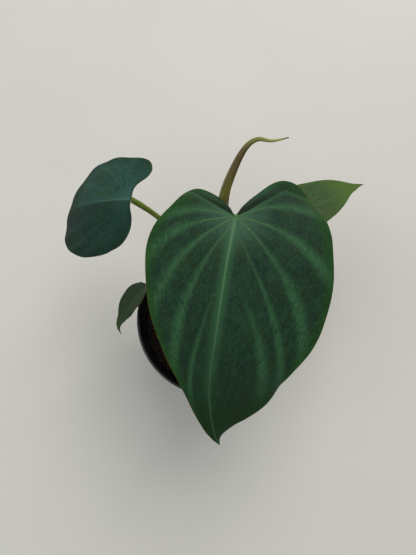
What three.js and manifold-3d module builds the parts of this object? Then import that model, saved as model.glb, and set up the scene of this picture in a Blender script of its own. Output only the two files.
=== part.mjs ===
// Potted philodendron verrucosum: a young velvet-leaved climbing aroid in a round nursery pot.
// Millimetres, +Z up. The origin is the middle of the pot's flat base, on the ground.

import * as THREE from 'three';
import { mergeVertices } from 'three/addons/utils/BufferGeometryUtils.js';
import Module from 'manifold-3d';

const wasm = await Module();
wasm.setup();

// Clearance between neighbouring pieces
const GAP = 0.3;

// Pot
const POT_HEIGHT = 92;
const RIM_RADIUS = 54;
const BASE_RADIUS = 39;
const LIP_HEIGHT = 9;
const LIP_OVERHANG = 1.8;
const POT_WALL = 1.6;
const POT_FLOOR = 2.2;
const BASE_BEVEL = 1.2;
const RIM_ROUND = 0.7;
const POT_SIDES = 48;
const DRAIN_HOLES = 6;
const DRAIN_RADIUS = 4.5;
const DRAIN_CIRCLE = 27;
const LIP_BOTTOM = POT_HEIGHT - LIP_HEIGHT;
const BODY_TOP_RADIUS = RIM_RADIUS - LIP_OVERHANG;

// Soil and its bark chips
const SOIL_LEVEL = 74;
const SOIL_RINGS = [0.94, 0.8, 0.62, 0.42, 0.2];
const CHIPS = 26;
const CHIP_SPREAD = 41;
const CHIP_CLEAR_OF_STEM = 12;
const CHIP_LENGTH = [6, 12];
const CHIP_WIDTH = [4, 7];
const CHIP_DEPTH = [2.5, 4.5];

// Short climbing stem, from its buried foot to the growing tip
const STEM_PATH = [[4, 12, 46], [3, 14.5, 70], [2, 16.5, 84], [2.5, 18.5, 97]];
const STEM_HOLE_FOOT = [4.3, 11.2, 38];
const STEM_RADIUS = 4.4;
const STEM_TIP_RADIUS = 3.4;
const NODE_SWELL = 0.9;
const NODE_HEIGHTS = [79, 84.5, 90, 94.5];
const NODE_BAND = 1.1;

// Aerial roots, each from a stem node down into the soil
const ROOTS = [
  { path: [[4, 13, 79], [7, 5, 79], [10, -3, 77], [11, -7, 70]], holeFoot: [11.2, -8, 64], radius: 1.1 },
  { path: [[1, 17, 80], [-6, 23, 80], [-13, 28, 77], [-15, 30, 70]], holeFoot: [-15.5, 30.5, 64], radius: 1 },
  { path: [[5, 15, 84], [13, 13, 83], [20, 12, 78], [22, 12, 70]], holeFoot: [22.4, 12, 64], radius: 1.1 },
];
const ROOT_ROOM = 0.9;

// Leaf blade form shared by all leaves.
// A point of a blade is given by t, the share of the margin from the sinus to the tip,
// and r, the share of the vein line that runs from the midrib out to that margin point.
const VEINS = [0.17, 0.34, 0.5, 0.66, 0.87];
const VEIN_BAND = 0.016;
const GROOVE_BAND = 0.035;
const FAN_END = 0.6;
const FAN_POWER = 4;
const SHORTEST_MIDRIB_STEP = 1;
const VEIN_BEND = 22;
const VEIN_REACH = 0.62;
const EDGE_ROOM_USED = 0.37;
const RIB_DEPTH = 0.8;
const MIDRIB_BAND = 1.6;
const SINUS_FOLD_END = 0.17;
const SINUS_SHARES = [0, 0.03, 0.07, 0.11];
const CLOSEST_SHARES = 0.007;

// Fan of vein lines at the joint: the direction of the first one, in degrees from square to the
// midrib (null to point it at the margin), and the margin share at which the spread ends
const FAN = [null, 0.3];
const FAN_FIRST = 0.05;

// Each midrib runs from a point behind the petiole, over the petiole's joint, to the drip tip.
// left and right are half outlines: distance from the midrib, and distance from the joint along it.
// fold is the rise of each half at the back, the joint, halfway and the tip, in degrees.
// veins and fan are for the left half and the right half.
const FRONT_LEAF = {
  midrib: [[14.4, 65.4, 158], [11.7, 42.7, 170], [6.2, 14, 171], [0.8, -20.5, 163],
    [-2.9, -48.9, 147], [-0.6, -71.8, 130], [3.4, -81.8, 121]],
  left: [[4, -13], [24.3, -24.5], [36.6, -6], [45.8, 26], [34.3, 68], [17.5, 95.3], [10, 111.8]],
  right: [[4.5, -17.8], [28.3, -41.4], [44.8, -33.6], [60.7, 15.4], [59.9, 57.7], [47.3, 83.7],
    [36, 114.6], [15.4, 128.7], [3.2, 134.6]],
  veins: [[0.17, 0.34, 0.46, 0.6, 0.76, 0.87], [0.17, 0.34, 0.5, 0.69, 0.79, 0.87]],
  fan: [FAN, FAN],
  roll: [0, 0],
  fold: [5, 8, 4, 0],
  curl: 0.5,
  halfWidth: 54,
  thickness: 0.8,
  midribDepth: 1.6,
  groove: 0.8,
  sinusFold: 7,
  wave: 0.9,
  waves: 6,
  columns: 10,
  shareStep: 0.036,
};

const LEFT_LEAF = {
  midrib: [[-41, 63, 149.8], [-52.1, 65.2, 145.8], [-66, 67.8, 139], [-79, 70.6, 130], [-91, 73.2, 119],
    [-100.6, 75.4, 107.5], [-108.3, 77, 95.3]],
  left: [[7, 0.5], [12.4, -3], [17.6, -7.2], [24, -8.1], [30.5, -3], [34.5, 13.5], [36, 34], [32.5, 57],
    [22, 68], [7.4, 76.4]],
  right: [[4, -1], [12.7, -5.6], [21.7, -8.8], [29.5, -8.3], [35.4, -3.8], [40.1, 8.8], [40.5, 22],
    [35.7, 41], [28, 59], [17, 73], [5, 77.5]],
  veins: [VEINS, VEINS],
  fan: [[23, 0.8], [-6, 0.5]],
  roll: [9, -3],
  fold: [9, 9, 5, 0],
  curl: 0.3,
  halfWidth: 38,
  thickness: 0.7,
  midribDepth: 1.2,
  groove: 0.3,
  sinusFold: 1.5,
  wave: 0.5,
  waves: 5,
  columns: 7,
  shareStep: 0.045,
};

const RIGHT_LEAF = {
  midrib: [[27, 51.6, 107], [37.2, 57.7, 107.4], [51, 65.6, 108], [65, 73, 108.8], [80, 80.4, 109.8],
    [94, 87, 110.9], [108.7, 93.1, 112.2]],
  left: [[2.8, -10], [11.7, -18.8], [19.2, -8], [22.4, 12], [20.4, 30], [12.9, 51.2], [8.3, 61.3],
    [2.8, 69.2], [0.8, 75.4]],
  right: [[3, -10], [12.8, -18.8], [21.2, -8], [25.6, 13], [24.6, 32], [19.7, 51.6], [11.1, 65.5],
    [4.2, 73.5], [1.3, 77.8]],
  veins: [VEINS, VEINS],
  fan: [FAN, FAN],
  roll: [-28, -7],
  fold: [20, 20, 12, 0],
  curl: 0.3,
  halfWidth: 24.5,
  thickness: 0.7,
  midribDepth: 1.1,
  groove: 0.3,
  sinusFold: 1.5,
  wave: 0.5,
  waves: 5,
  columns: 6,
  shareStep: 0.05,
};

const LOW_LEAF = {
  midrib: [[-42.9, 22.7, 105.2], [-46.4, 19.6, 104], [-51.7, 14.9, 102.2], [-56.5, 9.8, 99.6],
    [-60.6, 4.6, 96.3], [-64.5, -0.5, 92], [-67.7, -5.5, 87.5], [-66.7, -11.4, 82.5]],
  left: [[1.5, -1], [7, 1.6], [11.4, 4.8], [13.5, 10], [12.6, 18], [9.4, 24.4], [5.2, 31.1], [1.6, 37],
    [0.7, 41]],
  right: [[1.5, -3.5], [6, -5.5], [10.8, -2], [13.5, 4], [12.2, 10.8], [7.8, 21.5], [4.2, 30],
    [1.6, 36.5], [0.7, 41]],
  veins: [VEINS, VEINS],
  fan: [[0, 0.3], FAN],
  roll: [53, 12],
  fold: [18, 18, 11, 0],
  curl: 0.3,
  halfWidth: 12.3,
  thickness: 0.6,
  midribDepth: 0.8,
  groove: 0.2,
  sinusFold: 0.8,
  wave: 0.3,
  waves: 4,
  columns: 5,
  shareStep: 0.06,
};

// Papery sheath at the foot of the new leaf: a narrow channelled blade without veins
const CATAPHYLL = {
  midrib: [[-2, 19.3, 90], [-2.6, 22.3, 93.5], [-3.6, 27.3, 100], [-4.6, 32.8, 108], [-5.6, 37.8, 116],
    [-6.4, 41.3, 123]],
  left: [[3.4, 0.5], [4.8, 8], [4.4, 18], [2.6, 27], [0.9, 32]],
  right: [[3.4, 0.5], [4.8, 8], [4.4, 18], [2.6, 27], [0.9, 32]],
  veins: [[], []],
  fan: [FAN, FAN],
  roll: [0, 0],
  fold: [-12, -12, -8, 0],
  curl: -1.1,
  halfWidth: 4.8,
  thickness: 0.7,
  midribDepth: 0,
  groove: 0,
  sinusFold: 0,
  wave: 0,
  waves: 1,
  columns: 3,
  shareStep: 0.06,
};

// Petioles run from the stem to just under the joint of their blade
const PETIOLES = {
  front: { path: [[8.9, 17.4, 90], [11.5, 17.6, 96], [13, 20.5, 116], [13, 28.5, 142], [11.8, 41.4, 166.8]],
    radius: [2.9, 1.9] },
  left: { path: [[-3.2, 21, 84], [-7.4, 26, 91], [-12, 38, 105], [-21.8, 50.5, 119], [-36.6, 60.1, 130],
    [-44.6, 63.5, 137.5], [-52, 66.2, 143.4]],
    radius: [2.4, 1.7] },
  right: { path: [[6.6, 22.3, 86.5], [11, 27, 90], [20, 38, 98.5], [29.5, 49, 103.5], [37.3, 56.3, 104.9]],
    radius: [2.2, 1.5] },
  low: { path: [[-4.1, 14.3, 79.5], [-11, 12.5, 84], [-24, 13, 94.5], [-36, 15.5, 101.3], [-44.9, 18.5, 102.7]],
    radius: [1.8, 1.2] },
};
const PETIOLE_SIDES = 10;
const PETIOLE_STEPS = 14;

// New leaf, still rolled up: its stalk swells into the rolled blade and thins to a curled tip
const FURLED_PATH = [
  [2.6, 18.9, 97.8], [2.9, 27.5, 116], [4.4, 48, 137], [6.1, 61.9, 155], [10.8, 71, 170],
  [16.6, 77.8, 182], [22.6, 79.8, 188], [30.5, 77.1, 191], [39.7, 80.4, 189],
];
const FURLED_RADII = [2.1, 2.2, 2.6, 3.2, 3.3, 2.8, 2, 1.1, 0.3];
const FURLED_SIDES = 12;
const FURLED_STEPS = 30;
const ROLL_SEAM = 0.22;
const ROLL_TURNS = 0.6;

const SEED = 7;

function seededRandom(seed) {
  let state = seed;
  return () => {
    state = (state * 1664525 + 1013904223) % 4294967296;
    return state / 4294967296;
  };
}

function between(range, share) {
  return THREE.MathUtils.lerp(range[0], range[1], share);
}

// Value of a list of stops at a share from 0 to 1, straight from stop to stop
function alongStops(stops, share) {
  const place = THREE.MathUtils.clamp(share, 0, 1) * (stops.length - 1);
  const index = Math.min(Math.floor(place), stops.length - 2);
  return THREE.MathUtils.lerp(stops[index], stops[index + 1], place - index);
}

function smooth(x) {
  return THREE.MathUtils.smoothstep(x, 0, 1);
}

function bell(x, width) {
  return Math.exp(-((x / width) ** 2));
}

function curveThrough(points) {
  const vectors = points.map(([x, y, z = 0]) => new THREE.Vector3(x, y, z));
  return new THREE.CatmullRomCurve3(vectors, false, 'catmullrom', 0.5);
}

// Solids

function solidFrom(geometry) {
  const bare = geometry.clone();
  bare.deleteAttribute('normal');
  bare.deleteAttribute('uv');
  const merged = mergeVertices(bare, 1e-4);
  const corners = merged.index.array;
  const kept = [];
  for (let i = 0; i < corners.length; i += 3) {
    const [a, b, c] = corners.slice(i, i + 3);
    if (a !== b && b !== c && c !== a) kept.push(a, b, c);
  }
  return new wasm.Manifold(new wasm.Mesh({
    numProp: 3,
    vertProperties: new Float32Array(merged.attributes.position.array),
    triVerts: new Uint32Array(kept),
  }));
}

function geometryFrom(solid) {
  const mesh = solid.getMesh();
  const geometry = new THREE.BufferGeometry();
  geometry.setAttribute('position', new THREE.BufferAttribute(mesh.vertProperties, 3));
  geometry.setIndex(new THREE.BufferAttribute(mesh.triVerts, 1));
  return geometry;
}

function indexedGeometry(points, triangles) {
  const geometry = new THREE.BufferGeometry();
  geometry.setFromPoints(points);
  geometry.setIndex(triangles.flat());
  return geometry;
}

// Tube along a curve, closed at both ends. radius(u, turn) is the distance from the curve
// at a share u of its length and a share turn of the way round.
function sweptTube(curve, radius, sides, steps) {
  const frames = curve.computeFrenetFrames(steps, false);
  const points = [];
  for (let i = 0; i <= steps; i++) {
    const centre = curve.getPointAt(i / steps);
    for (let k = 0; k < sides; k++) {
      const angle = (k / sides) * 2 * Math.PI;
      const reach = radius(i / steps, k / sides);
      points.push(centre.clone()
        .addScaledVector(frames.normals[i], reach * Math.cos(angle))
        .addScaledVector(frames.binormals[i], reach * Math.sin(angle)));
    }
  }
  const triangles = [];
  for (let i = 0; i < steps; i++) {
    for (let k = 0; k < sides; k++) {
      const here = i * sides + k;
      const beside = i * sides + ((k + 1) % sides);
      triangles.push([here, beside, beside + sides], [here, beside + sides, here + sides]);
    }
  }
  const start = points.push(curve.getPointAt(0)) - 1;
  const end = points.push(curve.getPointAt(1)) - 1;
  const lastRing = steps * sides;
  for (let k = 0; k < sides; k++) {
    const next = (k + 1) % sides;
    triangles.push([start, next, k], [end, lastRing + k, lastRing + next]);
  }
  return indexedGeometry(points, triangles);
}

// Leaf blades

// Midrib as a list of frames by distance from the petiole's joint
function midribFrames(leaf) {
  const samplesPerSpan = 40;
  const curve = curveThrough(leaf.midrib);
  const lengths = curve.getLengths(samplesPerSpan * (leaf.midrib.length - 1));
  const behind = lengths[samplesPerSpan];
  const total = lengths[lengths.length - 1];
  curve.arcLengthDivisions = lengths.length - 1;
  const length = total - behind;
  const frameAt = (distance) => {
    const share = THREE.MathUtils.clamp((distance + behind) / total, 0, 1);
    const along = curve.getTangentAt(share);
    const point = curve.getPointAt(share);
    point.addScaledVector(along, Math.min(distance + behind, 0));
    const level = new THREE.Vector3(0, 0, 1).cross(along).normalize();
    const upright = along.clone().cross(level);
    const roll = THREE.MathUtils.degToRad(alongStops(leaf.roll, distance / length));
    const across = level.multiplyScalar(Math.cos(roll)).addScaledVector(upright, Math.sin(roll));
    return { point, across, normal: along.cross(across) };
  };
  return { length, frameAt };
}

// Share of the midrib at which the vein line to margin share t starts; 0 is the petiole's joint
function veinStart(t, length) {
  const share = Math.max((t - FAN_END) / (1 - FAN_END), 0) ** FAN_POWER;
  return share * length < SHORTEST_MIDRIB_STEP ? 0 : share;
}

// Direction from a vein line's start to its margin point, and the line's bend away from it.
// The bend towards the base takes up only a part of the room between the line and the margin.
function chordAndBend(margin, t, length) {
  const edge = margin.getPointAt(t);
  const tangent = margin.getTangentAt(t);
  const chord = Math.atan2(edge.y - veinStart(t, length) * length, edge.x);
  const room = Math.atan2(tangent.y, tangent.x) - chord;
  const bend = THREE.MathUtils.clamp(EDGE_ROOM_USED * room, 0, THREE.MathUtils.degToRad(VEIN_BEND));
  return { chord, bend };
}

// Vein lines to the lobe leave the joint evenly spread, so that no two of them cross
function veinBend(margin, t, length, [firstAngle, spreadEnd]) {
  const { chord, bend } = chordAndBend(margin, t, length);
  if (t >= spreadEnd) return bend;
  const settled = chordAndBend(margin, spreadEnd, length);
  const first = firstAngle === null
    ? chordAndBend(margin, FAN_FIRST, length).chord
    : THREE.MathUtils.degToRad(firstAngle);
  return chord - THREE.MathUtils.lerp(first, settled.chord - settled.bend, t / spreadEnd);
}

// Sunken veins of the upper face, as a share of the groove's depth
function groovePattern(veins, t, r) {
  const fade = smooth(r / 0.25) * smooth((1 - r) / 0.25);
  return veins.reduce((sum, vein) => sum - bell(t - vein, GROOVE_BAND), 0) * fade;
}

// Returns a function from (side, t, r) to the point of the upper face and the rib depth under it
function bladeSurface(leaf) {
  const { length, frameAt } = midribFrames(leaf);
  const margins = [leaf.left, leaf.right].map((outline) => curveThrough([[0, 0], ...outline, [0, length]]));
  return (side, t, r) => {
    const half = side < 0 ? 0 : 1;
    const margin = margins[half];
    const veins = leaf.veins[half];
    const edge = margin.getPointAt(t);
    const start = new THREE.Vector3(0, veinStart(t, length) * length, 0);
    const bend = veinBend(margin, t, length, leaf.fan[half]);
    const reach = edge.clone().sub(start).multiplyScalar(VEIN_REACH);
    reach.applyAxisAngle(new THREE.Vector3(0, 0, 1), -bend);
    const flat = new THREE.QuadraticBezierCurve3(start, start.clone().add(reach), edge).getPoint(r);

    const share = flat.y / length;
    const fold = THREE.MathUtils.degToRad(share < 0
      ? THREE.MathUtils.lerp(leaf.fold[1], leaf.fold[0], Math.min(-share / 0.2, 1))
      : alongStops(leaf.fold.slice(1), share));
    const bending = leaf.curl / leaf.halfWidth;
    const out = (Math.sin(fold) - Math.sin(fold - bending * flat.x)) / bending;
    const rise = (Math.cos(fold - bending * flat.x) - Math.cos(fold)) / bending;
    const sinusFold = leaf.sinusFold * (1 - smooth(t / SINUS_FOLD_END)) * r * smooth(t / 0.05);
    const edgeFade = smooth((r - 0.55) / 0.45) * smooth(t / 0.12) * smooth((1 - t) / 0.08);
    const wave = leaf.wave * edgeFade * Math.sin(2 * Math.PI * leaf.waves * t + side);
    const relief = leaf.groove * groovePattern(veins, t, r) + wave - sinusFold;

    const frame = frameAt(flat.y);
    const point = frame.point
      .addScaledVector(frame.across, side * out)
      .addScaledVector(frame.normal, rise + relief);
    const midrib = leaf.midribDepth * bell(flat.x, MIDRIB_BAND) * (1 - share) * smooth(share * 12 + 0.5);
    const ribs = veins.reduce((sum, vein) => sum + bell(t - vein, VEIN_BAND / 2), 0);
    const rib = RIB_DEPTH * leaf.thickness * ribs * (1 - r) * smooth(r / 0.2);
    return { point, depth: leaf.thickness + midrib + rib };
  };
}

// Margin shares of the modelled lines: on each vein, close beside it, and evenly in between
function marginShares(leaf) {
  const veins = [...new Set(leaf.veins.flat())];
  const besides = veins.flatMap((vein) => [vein - VEIN_BAND, vein + VEIN_BAND]);
  const ends = [...SINUS_SHARES, 1 - VEIN_BAND, 1];
  const free = besides.filter((share) => veins.every((vein) => Math.abs(share - vein) > CLOSEST_SHARES));
  const sorted = [...ends, ...veins, ...free].sort((a, b) => a - b);
  const shares = [0];
  for (const share of sorted.slice(1)) {
    const last = shares[shares.length - 1];
    if (share - last > CLOSEST_SHARES) {
      const steps = Math.max(Math.round((share - last) / leaf.shareStep), 1);
      for (let k = 1; k <= steps; k++) shares.push(THREE.MathUtils.lerp(last, share, k / steps));
    }
  }
  return shares;
}

// Closed blade: upper face, lower face with its ribs split into the same triangles, and the edge
function bladeGeometry(leaf) {
  const surface = bladeSurface(leaf);
  const shares = marginShares(leaf);
  const { length } = midribFrames(leaf);
  const rows = shares.length - 1;
  const columns = [0, 0.045];
  for (let j = 1; j <= leaf.columns; j++) columns.push(0.045 + (0.955 * j) / leaf.columns);
  const upper = [];
  const depths = [];
  const vertexOf = new Map();

  const vertex = (side, row, column) => {
    const atTip = row === rows;
    const atJoint = row === 0 || (column === 0 && veinStart(shares[row], length) === 0);
    let key = `${side} ${row} ${column}`;
    if (column === 0) key = `midrib ${row}`;
    if (atJoint) key = 'joint';
    if (atTip) key = 'tip';
    if (!vertexOf.has(key)) {
      const { point, depth } = atJoint ? surface(1, 0, 0) : surface(side, shares[row], columns[column]);
      vertexOf.set(key, upper.push(point) - 1);
      depths.push(depth);
    }
    return vertexOf.get(key);
  };

  const faces = [];
  const rim = [];
  const outer = columns.length - 1;
  for (const side of [-1, 1]) {
    for (let row = 0; row < rows; row++) {
      for (let column = 0; column < outer; column++) {
        const near = vertex(side, row, column);
        const nearNext = vertex(side, row + 1, column);
        const far = vertex(side, row, column + 1);
        const farNext = vertex(side, row + 1, column + 1);
        for (const face of [[near, nearNext, farNext], [near, farNext, far]]) {
          if (new Set(face).size === 3) faces.push(side > 0 ? face : face.reverse());
        }
      }
      const edge = [vertex(side, row, outer), vertex(side, row + 1, outer)];
      rim.push(side > 0 ? edge : edge.reverse());
    }
  }

  const normals = upper.map(() => new THREE.Vector3());
  for (const [a, b, c] of faces) {
    const facing = upper[b].clone().sub(upper[a]).cross(upper[c].clone().sub(upper[a]));
    for (const corner of [a, b, c]) normals[corner].add(facing);
  }
  const lower = upper.map((point, i) => point.clone().addScaledVector(normals[i].normalize(), -depths[i]));
  const below = upper.length;
  const triangles = [...faces];
  for (const [a, b, c] of faces) triangles.push([below + a, below + c, below + b]);
  for (const [a, b] of rim) triangles.push([a, b, below + b], [a, below + b, below + a]);
  return indexedGeometry([...upper, ...lower], triangles);
}

// Stem with its aerial roots

function stemRadius(u) {
  const height = THREE.MathUtils.lerp(STEM_PATH[0][2], STEM_PATH[3][2], u);
  const swell = NODE_HEIGHTS.reduce((sum, node) => sum + bell(height - node, NODE_BAND), 0);
  const rounding = Math.sqrt(Math.min((1 - u) / 0.05, 1) * 0.6 + 0.4);
  return (THREE.MathUtils.lerp(STEM_RADIUS, STEM_TIP_RADIUS, u ** 3) + NODE_SWELL * swell) * rounding;
}

function stemWithRoots() {
  const stem = solidFrom(sweptTube(curveThrough(STEM_PATH), stemRadius, 12, 24));
  return ROOTS.reduce((solid, root) => {
    const tube = sweptTube(curveThrough(root.path), () => root.radius, 7, 8);
    return solid.add(solidFrom(tube));
  }, stem);
}

// Room that the stem and the roots take in the soil, with the gap all round
function plantingHoles() {
  const wide = STEM_RADIUS + NODE_SWELL + GAP;
  const stemHole = sweptTube(curveThrough([STEM_HOLE_FOOT, ...STEM_PATH]), () => wide, 12, 28);
  return ROOTS.reduce((solid, root) => {
    const tube = sweptTube(curveThrough([...root.path, root.holeFoot]), () => root.radius + ROOT_ROOM, 8, 12);
    return solid.add(solidFrom(tube));
  }, solidFrom(stemHole));
}

// Pot and soil

function potInsideRadius(z) {
  return THREE.MathUtils.lerp(BASE_RADIUS, BODY_TOP_RADIUS, z / LIP_BOTTOM) - POT_WALL;
}

function lathe(profile) {
  const geometry = new THREE.LatheGeometry(profile.map(([x, z]) => new THREE.Vector2(x, z)), POT_SIDES);
  return geometry.rotateX(Math.PI / 2);
}

function pot() {
  const profile = [
    [0, 0],
    [BASE_RADIUS - BASE_BEVEL, 0],
    [BASE_RADIUS, BASE_BEVEL],
    [BODY_TOP_RADIUS, LIP_BOTTOM],
    [RIM_RADIUS - RIM_ROUND, LIP_BOTTOM],
    [RIM_RADIUS, LIP_BOTTOM + RIM_ROUND],
    [RIM_RADIUS, POT_HEIGHT - RIM_ROUND],
    [RIM_RADIUS - RIM_ROUND, POT_HEIGHT],
    [BODY_TOP_RADIUS, POT_HEIGHT],
    [BODY_TOP_RADIUS - POT_WALL, LIP_BOTTOM - POT_WALL],
    [potInsideRadius(POT_FLOOR), POT_FLOOR],
    [0, POT_FLOOR],
  ];
  let solid = solidFrom(lathe(profile));
  for (let k = 0; k < DRAIN_HOLES; k++) {
    const angle = (k / DRAIN_HOLES) * 2 * Math.PI;
    const drill = new THREE.CylinderGeometry(DRAIN_RADIUS, DRAIN_RADIUS, 3 * POT_FLOOR, 16);
    drill.rotateX(Math.PI / 2);
    drill.translate(DRAIN_CIRCLE * Math.cos(angle), DRAIN_CIRCLE * Math.sin(angle), POT_FLOOR / 2);
    solid = solid.subtract(solidFrom(drill));
  }
  return solid;
}

function soilHeight(x, y) {
  const mounds = 0.9 * Math.sin(0.21 * x + 1.3) * Math.cos(0.17 * y - 0.6);
  const crumbs = 0.5 * Math.sin(0.43 * x - 0.38 * y + 2);
  return SOIL_LEVEL + mounds + crumbs;
}

function soilBed() {
  const edge = potInsideRadius(SOIL_LEVEL) - GAP;
  const foot = POT_FLOOR + GAP;
  const profile = [
    [0, foot],
    [potInsideRadius(foot) - GAP, foot],
    [edge, SOIL_LEVEL - 2],
    ...SOIL_RINGS.map((share) => [edge * share, SOIL_LEVEL]),
    [0, SOIL_LEVEL],
  ];
  const geometry = lathe(profile);
  const place = geometry.attributes.position;
  for (let i = 0; i < place.count; i++) {
    if (place.getZ(i) > SOIL_LEVEL - 1) place.setZ(i, soilHeight(place.getX(i), place.getY(i)));
  }
  return solidFrom(geometry);
}

// Bark chip: a small block with uneven corners, lying askew and half sunk in the soil
function barkChip(random, x, y) {
  const chip = new THREE.BoxGeometry(
    between(CHIP_LENGTH, random()),
    between(CHIP_WIDTH, random()),
    between(CHIP_DEPTH, random()),
  );
  const bare = chip.clone();
  bare.deleteAttribute('normal');
  bare.deleteAttribute('uv');
  const merged = mergeVertices(bare);
  const corner = merged.attributes.position;
  for (let i = 0; i < corner.count; i++) {
    const shrink = between([0.65, 1], random());
    corner.setXYZ(i, corner.getX(i) * shrink, corner.getY(i) * shrink, corner.getZ(i));
  }
  merged.rotateX(between([-0.35, 0.35], random()));
  merged.rotateY(between([-0.35, 0.35], random()));
  merged.rotateZ(between([0, Math.PI], random()));
  merged.translate(x, y, soilHeight(x, y) + 0.4);
  return solidFrom(merged);
}

function soil() {
  const random = seededRandom(SEED);
  const goldenAngle = Math.PI * (3 - Math.sqrt(5));
  let solid = soilBed();
  for (let k = 0; k < CHIPS; k++) {
    const reach = CHIP_SPREAD * Math.sqrt((k + 0.5) / CHIPS);
    const x = reach * Math.cos(k * goldenAngle);
    const y = reach * Math.sin(k * goldenAngle);
    const chip = barkChip(random, x, y);
    if (Math.hypot(x - STEM_PATH[1][0], y - STEM_PATH[1][1]) > CHIP_CLEAR_OF_STEM) solid = solid.add(chip);
  }
  return solid.subtract(plantingHoles());
}

// Petioles and the rolled leaf

function petiole({ path, radius }) {
  const round = (u) => between(radius, smooth(u * 1.4)) * (1 + 0.12 * bell(u - 0.95, 0.06));
  return sweptTube(curveThrough(path), round, PETIOLE_SIDES, PETIOLE_STEPS);
}

// The rolled blade's outer edge stands proud of the turn under it and winds up the roll
function furledLeaf() {
  const radius = (u, turn) => {
    const around = (turn + ROLL_TURNS * u) % 1;
    return alongStops(FURLED_RADII, u) * (1 + ROLL_SEAM * smooth(u * 4) * (around - 0.5));
  };
  return sweptTube(curveThrough(FURLED_PATH), radius, FURLED_SIDES, FURLED_STEPS);
}

// Materials

function material(color, roughness) {
  return new THREE.MeshStandardMaterial({ color, roughness, metalness: 0 });
}

const POT_BLACK = () => material(0x17181a, 0.45);
const SOIL_BROWN = () => material(0x241a13, 0.95);
const STEM_GREEN = () => material(0x5c6b35, 0.7);
const PETIOLE_OLIVE = () => material(0x4b5f1e, 0.65);
const BLADE_DARK = () => material(0x28472f, 0.75);
const BLADE_YOUNG = () => material(0x3f5a34, 0.7);
const FURLED_BRONZE = () => material(0x69663c, 0.6);
const SHEATH_TAN = () => material(0x8a7a4e, 0.8);

const plant = new THREE.Group();

function addPiece(name, geometry, paint) {
  const mesh = new THREE.Mesh(geometry, paint());
  mesh.name = name;
  plant.add(mesh);
}

addPiece('pot', geometryFrom(pot()), POT_BLACK);
addPiece('soil', geometryFrom(soil()), SOIL_BROWN);
addPiece('stem', geometryFrom(stemWithRoots()), STEM_GREEN);
for (const [name, shape] of Object.entries(PETIOLES)) {
  addPiece(`leaf_${name}_petiole`, petiole(shape), PETIOLE_OLIVE);
}
addPiece('leaf_front_blade', bladeGeometry(FRONT_LEAF), BLADE_DARK);
addPiece('leaf_left_blade', bladeGeometry(LEFT_LEAF), BLADE_DARK);
addPiece('leaf_right_blade', bladeGeometry(RIGHT_LEAF), BLADE_YOUNG);
addPiece('leaf_low_blade', bladeGeometry(LOW_LEAF), BLADE_DARK);
addPiece('furled_leaf', furledLeaf(), FURLED_BRONZE);
addPiece('cataphyll', bladeGeometry(CATAPHYLL), SHEATH_TAN);

export default plant;
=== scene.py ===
import math
import random

import bpy
import numpy as np
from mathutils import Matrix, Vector, noise


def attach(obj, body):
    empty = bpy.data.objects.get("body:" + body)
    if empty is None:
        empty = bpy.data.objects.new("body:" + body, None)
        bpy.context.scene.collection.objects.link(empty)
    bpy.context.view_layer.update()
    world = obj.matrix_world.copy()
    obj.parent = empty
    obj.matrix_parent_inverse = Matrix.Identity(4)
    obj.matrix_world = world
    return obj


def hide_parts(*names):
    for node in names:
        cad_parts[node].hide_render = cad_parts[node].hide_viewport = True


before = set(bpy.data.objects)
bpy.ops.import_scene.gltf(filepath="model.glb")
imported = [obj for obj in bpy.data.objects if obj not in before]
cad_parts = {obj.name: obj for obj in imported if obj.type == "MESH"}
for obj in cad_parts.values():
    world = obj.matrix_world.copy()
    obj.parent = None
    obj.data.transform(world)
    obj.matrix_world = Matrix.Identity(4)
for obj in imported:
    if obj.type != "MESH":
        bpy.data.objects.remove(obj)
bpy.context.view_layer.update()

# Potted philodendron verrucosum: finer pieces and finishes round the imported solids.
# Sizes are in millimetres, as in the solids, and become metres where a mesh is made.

MM = 0.001
UP = np.array([0.0, 0.0, 1.0])
SEED = 7

# Camera: place in metres, over the pot's front, looking steeply down as the photograph does
CAMERA_PLACE = (-0.0035, -0.0496, 0.3851)
CAMERA_ELEVATION = 75.0
CAMERA_LENS = 26.0
CAMERA_SENSOR = 34.6

# Pot
POT_HEIGHT = 92.0
RIM_RADIUS = 54.0
BASE_RADIUS = 39.0
LIP_HEIGHT = 9.0
LIP_OVERHANG = 1.8
POT_WALL = 1.6
POT_FLOOR = 2.2
LIP_BOTTOM = POT_HEIGHT - LIP_HEIGHT
BODY_TOP_RADIUS = RIM_RADIUS - LIP_OVERHANG
DRAIN_HOLES = 6
DRAIN_RADIUS = 4.5
DRAIN_CIRCLE = 27.0
DRILL_PAST = 3.0
FOOT_ROUND = 1.4
FOOT_INSET = 1.6
LIP_BEAD = 0.8
LIP_INNER_ROUND = 0.5
LIP_INNER_FOOT = 1.5
LIP_DRAFT = 0.2
FLOOR_CORNER = 1.5
POT_SIDES = 144

# Soil
SOIL_LEVEL = 74.0
CHIPS = 26
CHIP_SPREAD = 41.0
CHIP_CLEAR_OF_STEM = 12.0
CHIP_LENGTH = (6.0, 12.0)
CHIP_WIDTH = (4.0, 7.0)
CHIP_DEPTH = (2.5, 4.5)
CHIP_TILT = 0.35
CHIP_LIFT = 0.4
CHIP_CUTS = 3
CHIP_ROUNDING = 0.225
CHIP_ROUGHNESS = 0.17
CRUMBS = 420
CRUMB_SPREAD = 46.5
CRUMB_CLEAR_OF_STEM = 7.0
CRUMB_LENGTH = (1.2, 5.0)
CRUMB_WIDTH_SHARE = (0.4, 0.8)
CRUMB_DEPTH_SHARE = 0.4
CRUMB_LIFT = (0.1, 0.8)
CRUMB_TILT = 0.7
SOIL_SIDES = 140
SOIL_RINGS = 44
SOIL_GAP = 0.3
SOIL_ROUGHNESS = 0.9

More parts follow.
